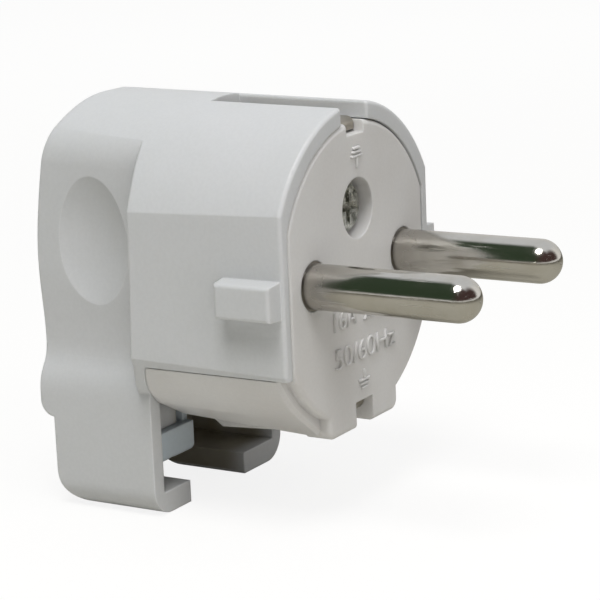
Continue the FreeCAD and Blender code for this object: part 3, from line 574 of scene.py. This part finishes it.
def floor_material():
    """A pale floor with three tones. The camera sees it nearly white, with a share of its real shade, so the
    shadow stays. Polished pieces mirror a darker table. All other light meets a sheet that gives back less on
    the plug's far side, a painted shadow."""
    material = bpy.data.materials.new("studio floor")
    tree = cleared_tree(material)
    place = object_place(tree)
    distance = add(tree, "ShaderNodeVectorMath", {0: place}, operation="LENGTH").outputs["Value"]
    cloud = between(tree, noise(tree, place, 3.0, 2.0), 0.3, 0.7)
    paper = mix_colour(tree, cloud, colour(PAPER[0]), colour(PAPER[1]))
    table = mix_colour(tree, cloud, colour(TABLE[0]), colour(TABLE[1]))
    away = between(tree, distance, *AWAY_SPAN)
    # painted shadow: the floor gives back less light on the plug's far side
    painted_shadow = between(tree, parts_of(tree, place)["X"], *SHADOW_SIDE_SPAN)
    bounce = mix_colour(tree, painted_shadow, colour(NEAR_BOUNCE), colour(PAINTED_SHADOW_BOUNCE))
    sheet = mix_colour(tree, away, bounce, colour(FAR_BOUNCE))
    mirrored = mix_colour(tree, away, table, colour(FAR_TABLE))
    tone = mix_colour(tree, ray_is(tree, "Is Glossy Ray"), sheet, mirrored)
    real = add(tree, "ShaderNodeBsdfDiffuse", {"Color": tone})
    pale = add(tree, "ShaderNodeBsdfDiffuse", {"Color": paper})
    level = between(tree, distance, *WHITE_SPAN, *WHITE_LEVELS)
    white = add(tree, "ShaderNodeEmission", {"Color": colour(WHITE), "Strength": level})
    seen = add(tree, "ShaderNodeMixShader", {0: WHITE_SHARE, 1: pale.outputs[0], 2: white.outputs[0]})
    chosen = add(tree, "ShaderNodeMixShader",
                 {0: ray_is(tree, "Is Camera Ray"), 1: real.outputs[0], 2: seen.outputs[0]})
    output = tree.nodes.new("ShaderNodeOutputMaterial")
    tree.links.new(chosen.outputs[0], output.inputs["Surface"])
    return material


def studio_floor(half, level):
    """A flat square sheet at the given height."""
    side = np.linspace(-half, half, 3)
    x, y = np.meshgrid(side, side, indexing="ij")
    grid = np.stack([x, y, np.full_like(x, level)], axis=-1)
    mesh = surface_mesh("studio_floor", grid)
    sheet = bpy.data.objects.new("studio_floor", mesh)
    bpy.context.scene.collection.objects.link(sheet)
    mesh.materials.append(floor_material())


def towards(tree, direction, way, low, high):
    """1 where a direction lies within the cone around way whose cosine goes from low to high."""
    made = add(tree, "ShaderNodeVectorMath", {0: direction, 1: way}, operation="DOT_PRODUCT")
    return between(tree, made.outputs["Value"], low, high)


def studio_world():
    """Soft room light by direction: a window in front of the face, a dark room above the table behind the
    plug and on the camera's side, and plain white for the camera itself. The dark room in front shows only in
    polished pieces. Light that isn't mirrored comes weaker from low in front."""
    world = bpy.data.worlds.new("studio")
    bpy.context.scene.world = world
    tree = cleared_tree(world)
    direction = add(tree, "ShaderNodeTexCoord").outputs["Generated"]
    apart = parts_of(tree, direction)
    height = apart["Z"]
    gloss_ray = ray_is(tree, "Is Glossy Ray")

    dark_rear = towards(tree, direction, *REAR_CONE)
    dark_front = math_of(tree, "MAXIMUM", towards(tree, direction, *CAMERA_CONE),
                         towards(tree, direction, *FACE_CONE))
    dark_sides = math_of(tree, "MAXIMUM", dark_rear, product(tree, dark_front, gloss_ray))
    dark = product(tree, dark_sides, between(tree, height, *DARK_SPAN))
    shade = mix_colour(tree, between(tree, apart["Y"], *SHADE_SPAN), colour(DARK_FRONT), colour(DARK_REAR))

    in_window = towards(tree, direction, *WINDOW_CONE)
    upwards = between(tree, height, *CEILING_SPAN)
    ceiling = mix_colour(tree, upwards, colour(CEILING_LOW), colour(CEILING_HIGH))
    window = mix_colour(tree, in_window, ceiling, colour(WINDOW))
    low_front = product(tree, towards(tree, direction, *LOW_FRONT_CONE), between(tree, height, *LOW_SPAN))
    unmirrored = math_of(tree, "SUBTRACT", LOW_SHARE, gloss_ray)
    weaker = math_of(tree, "MULTIPLY", low_front, unmirrored, clamp=True)
    bright = mix_colour(tree, weaker, window, colour(LOW_FRONT))

    room = mix_colour(tree, dark, bright, shade)
    soft = add(tree, "ShaderNodeBackground", {"Color": room, "Strength": 1.0})
    white = add(tree, "ShaderNodeBackground", {"Color": colour(WHITE), "Strength": 1.0})
    chosen = add(tree, "ShaderNodeMixShader",
                 {0: ray_is(tree, "Is Camera Ray"), 1: soft.outputs[0], 2: white.outputs[0]})
    output = tree.nodes.new("ShaderNodeOutputWorld")
    tree.links.new(chosen.outputs[0], output.inputs["Surface"])


def studio_lamp(name, direction, distance, radius, level, tint, mirrored):
    """A round area lamp that faces the plug. level is the brightness that it gives a white surface facing
    it; mirrored says whether polished pieces show its image."""
    data = bpy.data.lights.new(name, "AREA")
    data.shape = "DISK"
    data.size = 2.0 * radius
    data.energy = level * math.pi * math.pi * distance * distance
    data.color = tint
    lamp = bpy.data.objects.new(name, data)
    bpy.context.scene.collection.objects.link(lamp)
    way = np.array(direction, float) / np.linalg.norm(direction)
    side = np.cross([0.0, 1.0, 0.0], way)
    side /= np.linalg.norm(side)
    up = np.cross(way, side)
    turn = np.eye(4)
    turn[:3, 0], turn[:3, 1], turn[:3, 2], turn[:3, 3] = side, up, way, way * distance
    lamp.matrix_world = Matrix(turn.tolist())
    lamp.visible_glossy = mirrored


studio_floor(FLOOR_HALF, cad_low.z / MM - FLOOR_GAP)
studio_world()
studio_lamp("key_lamp", (-0.418, -0.115, 0.901), distance=0.6, radius=0.14, level=0.69, tint=WHITE,
            mirrored=True)
studio_lamp("front_lamp", (-0.28, -0.70, 0.66), distance=0.8, radius=0.20, level=0.13,
            tint=(1.0, 0.99, 0.98), mirrored=False)


# Camera

# Turned and placed as the photograph's: its axes, its place and its sensor's width in millimetres, and its
# focal length and the picture's width in pixels
CAMERA_RIGHT = (0.512320, -0.857799, -0.041335)
CAMERA_UP = (0.213204, 0.080416, 0.973693)
CAMERA_BACK = (-0.831909, -0.507655, 0.224084)
CAMERA_PLACE = (-203.483, -116.570, 50.674)
SENSOR_WIDTH = 36.0
FOCAL_PIXELS = 2259.505
PICTURE_PIXELS = 600.0


def photo_camera():
    """The camera from its three axes and its place; the lens is the focal length carried to the sensor."""
    data = bpy.data.cameras.new("camera")
    data.sensor_width = SENSOR_WIDTH
    data.lens = FOCAL_PIXELS / PICTURE_PIXELS * SENSOR_WIDTH
    data.clip_start = 0.01
    data.clip_end = 20.0
    camera = bpy.data.objects.new("camera", data)
    bpy.context.scene.collection.objects.link(camera)
    turn = np.eye(4)
    turn[:3, 0], turn[:3, 1], turn[:3, 2] = CAMERA_RIGHT, CAMERA_UP, CAMERA_BACK
    turn[:3, 3] = np.array(CAMERA_PLACE) * MM
    camera.matrix_world = Matrix(turn.tolist())
    bpy.context.scene.camera = camera


photo_camera()
bpy.context.scene.view_settings.view_transform = "Standard"
